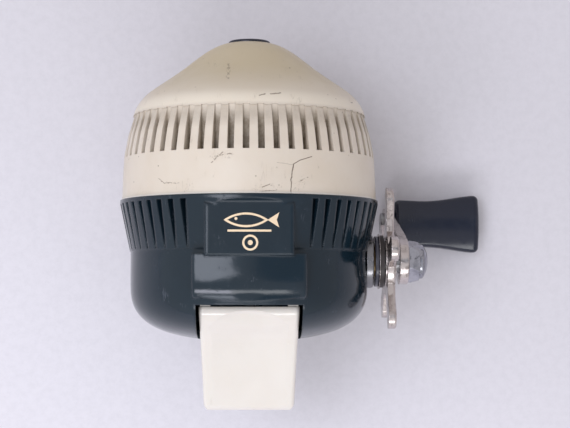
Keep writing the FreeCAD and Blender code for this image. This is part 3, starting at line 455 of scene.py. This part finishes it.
def floor_board():
    """Pale painted surface with painted light: brighter at the rear left, darker ahead of the reel and
    toward the crank's side, with faint mottling.
    """
    s = Shader("pale_floor")
    # Painted light: a slow fall-off from bright at the rear left to darker at the front right.
    across = s.vector("DOT_PRODUCT", s.place, (0.4, 0.92, 0.0))
    painted_light_falloff = s.band(s.math("ADD", across, s.times(s.noise(14.0, 5.0, 0.6), 0.05)), -0.05, 0.11)
    colour = s.mix(painted_light_falloff, srgb(221, 218, 224), srgb(204, 201, 206))
    grain = s.band(s.noise(420.0, 5.0, 0.75), 0.35, 0.7, 0.0, 0.10)
    colour = s.mix(grain, colour, srgb(150, 147, 152))
    s.set(Base_Color=colour, Roughness=0.75, Normal=s.bump(s.noise(900.0, 4.0), 0.05 * MM, 0.3))
    return s.material


# ---------------------------------------------------------------- stage

def add_floor(material):
    half = FLOOR_HALF_WIDTH
    corners = [(-half, -half, 0), (half, -half, 0), (half, half, 0), (-half, half, 0)]
    mesh = bpy.data.meshes.new("floor")
    mesh.from_pydata(corners, [], [(0, 1, 2, 3)])
    floor = bpy.data.objects.new("floor", mesh)
    bpy.context.collection.objects.link(floor)
    floor.data.materials.append(material)
    floor.location.z = -FLOOR_DROP


def add_area_light(name, place, target, size, power, colour, turn_deg=0.0):
    """A rectangular light at a place, facing a target, turned about its own axis."""
    light = bpy.data.lights.new(name, "AREA")
    light.shape = "RECTANGLE"
    light.size, light.size_y = size
    light.energy = power
    light.color = colour
    lamp = bpy.data.objects.new(name, light)
    lamp.location = place
    aim = (Vector(target) - Vector(place)).to_track_quat("-Z", "Y")
    lamp.rotation_euler = (aim @ Quaternion((0, 0, 1), math.radians(turn_deg))).to_euler()
    bpy.context.collection.objects.link(lamp)


def add_world():
    """A plain pale room, warmer and dimmer toward the crank's side, with a shaded patch overhead."""
    world = bpy.data.worlds.new("soft_room")
    world.use_nodes = True
    tree = world.node_tree
    background = tree.nodes["Background"]
    direction = tree.nodes.new("ShaderNodeTexCoord").outputs["Generated"]

    def toward(axis, low, high):
        """0 to 1 as the direction's share along the axis goes from low to high."""
        dot = tree.nodes.new("ShaderNodeVectorMath")
        dot.operation = "DOT_PRODUCT"
        tree.links.new(direction, dot.inputs[0])
        dot.inputs[1].default_value = Vector(axis).normalized()
        step = tree.nodes.new("ShaderNodeMapRange")
        step.interpolation_type = "SMOOTHSTEP"
        tree.links.new(dot.outputs["Value"], step.inputs["Value"])
        step.inputs["From Min"].default_value = low
        step.inputs["From Max"].default_value = high
        return step.outputs[0]

    def blend(factor, first, second):
        node = tree.nodes.new("ShaderNodeMix")
        node.data_type = "RGBA"
        tree.links.new(factor, node.inputs["Factor"])
        for socket, value in ((node.inputs[6], first), (node.inputs[7], second)):
            if isinstance(value, tuple):
                socket.default_value = (*value, 1.0)
            else:
                tree.links.new(value, socket)
        return node.outputs[2]

    colour = blend(toward((1.0, 0.5, 0.1), -0.2, 0.8), ROOM_LIGHT, ROOM_SHADE)
    colour = blend(toward((0.36, 0.03, 1.0), 0.935, 0.98), colour, OVERHEAD)
    tree.links.new(colour, background.inputs["Color"])
    background.inputs["Strength"].default_value = 1.0
    bpy.context.scene.world = world


def add_camera(axis_z):
    """Looks almost straight down on the label panel, from right above the reel's body."""
    camera = bpy.data.cameras.new("camera")
    camera.sensor_width = SENSOR_WIDTH_MM
    camera.lens = LENS_MM
    camera.clip_start = 0.01
    holder = bpy.data.objects.new("camera", camera)
    place = Vector((CAMERA_X, CAMERA_Y, axis_z + CAMERA_ABOVE_AXIS))
    view = (Vector((TARGET_X, TARGET_Y, axis_z)) - place).normalized()
    right = view.cross(Vector((0, 1, 0))).normalized()
    turn = Matrix((right, right.cross(view), -view)).transposed()
    holder.matrix_world = Matrix.Translation(place) @ turn.to_4x4()
    bpy.context.collection.objects.link(holder)
    bpy.context.scene.camera = holder


# ---------------------------------------------------------------- scene

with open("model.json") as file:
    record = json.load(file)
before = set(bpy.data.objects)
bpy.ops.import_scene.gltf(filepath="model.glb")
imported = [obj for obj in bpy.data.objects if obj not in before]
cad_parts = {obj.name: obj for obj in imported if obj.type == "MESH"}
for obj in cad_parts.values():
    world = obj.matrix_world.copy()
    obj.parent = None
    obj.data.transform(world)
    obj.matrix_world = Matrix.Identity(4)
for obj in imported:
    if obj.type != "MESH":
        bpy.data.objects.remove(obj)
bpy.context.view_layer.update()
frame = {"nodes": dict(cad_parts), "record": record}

cover_low, cover_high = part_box("front_cover")
AXIS_Z = (cover_low.z + cover_high.z) / 2
SEAM_Y = cover_low.y

MATERIALS = {
    "cream_plastic": cream_cover(AXIS_Z, SEAM_Y),
    "button_plastic": button_cream(),
    "dark_plastic": dark_housing(),
    "gold_mark": gold_foil(),
    "nickel": plated("bright_nickel", (197, 188, 185), (80, 67, 62), worn=0.6, low=0.12, high=0.28),
    "guide_steel": turned("guide_steel", (70, 70, 76), 0.25, 0.4),
    "steel": turned("plain_steel", (150, 150, 152)),
    "spring_steel": turned("spring_steel", (120, 120, 124)),
    "brass": turned("turned_brass", (132, 112, 80)),
    "zinc": cast_zinc("cast_zinc", (140, 140, 144)),
    "aluminium": turned("satin_aluminium", (188, 190, 194), 0.3, 0.42),
    "inner_plastic": moulded("moulded_grey", (150, 150, 146)),
    "washer_fibre": moulded("dark_fibre", (44, 36, 34)),
    "knob_plastic": black_knob(),
}
# Pieces whose look differs from the rest of their slot.
NODE_MATERIALS = {
    "acorn_nut": plated("zinc_plate", (166, 166, 174), (74, 76, 84), worn=0.85, low=0.12, high=0.28),
    "crank_bushing": plated("dull_plate", (128, 127, 130), (84, 82, 84), worn=0.3, low=0.22, high=0.36),
    # Painted sheen: the collar's glossy black gets a lighter grey base in place of its highlights.
    "drag_collar": moulded("collar_plastic_painted_sheen", (58, 58, 68), 0.16, 0.28),
}

slots = {part["node"]: part["material_slot"] for part in frame["record"]["subparts"]}
for node, item in frame["nodes"].items():
    item.data.materials.clear()
    item.data.materials.append(NODE_MATERIALS.get(node) or MATERIALS[slots[node]])

add_floor(floor_board())
add_world()
add_camera(AXIS_Z)
add_area_light("window", (-0.11, -0.75, 0.62), (-0.11, 0, AXIS_Z),
               size=(0.78, 0.24), power=2.6, colour=(0.97, 0.98, 1.0))
add_area_light("bright_pane", (-0.27, -0.74, 0.61), (-0.27, 0, AXIS_Z),
               size=(0.30, 0.20), power=1.0, colour=(0.80, 0.78, 1.0))
add_area_light("ceiling", (-0.43, 0.03, 1.15), (0, 0, AXIS_Z),
               size=(0.56, 0.46), power=4.2, colour=(0.84, 0.88, 1.0), turn_deg=35.0)

bpy.context.scene.view_settings.view_transform = "Standard"
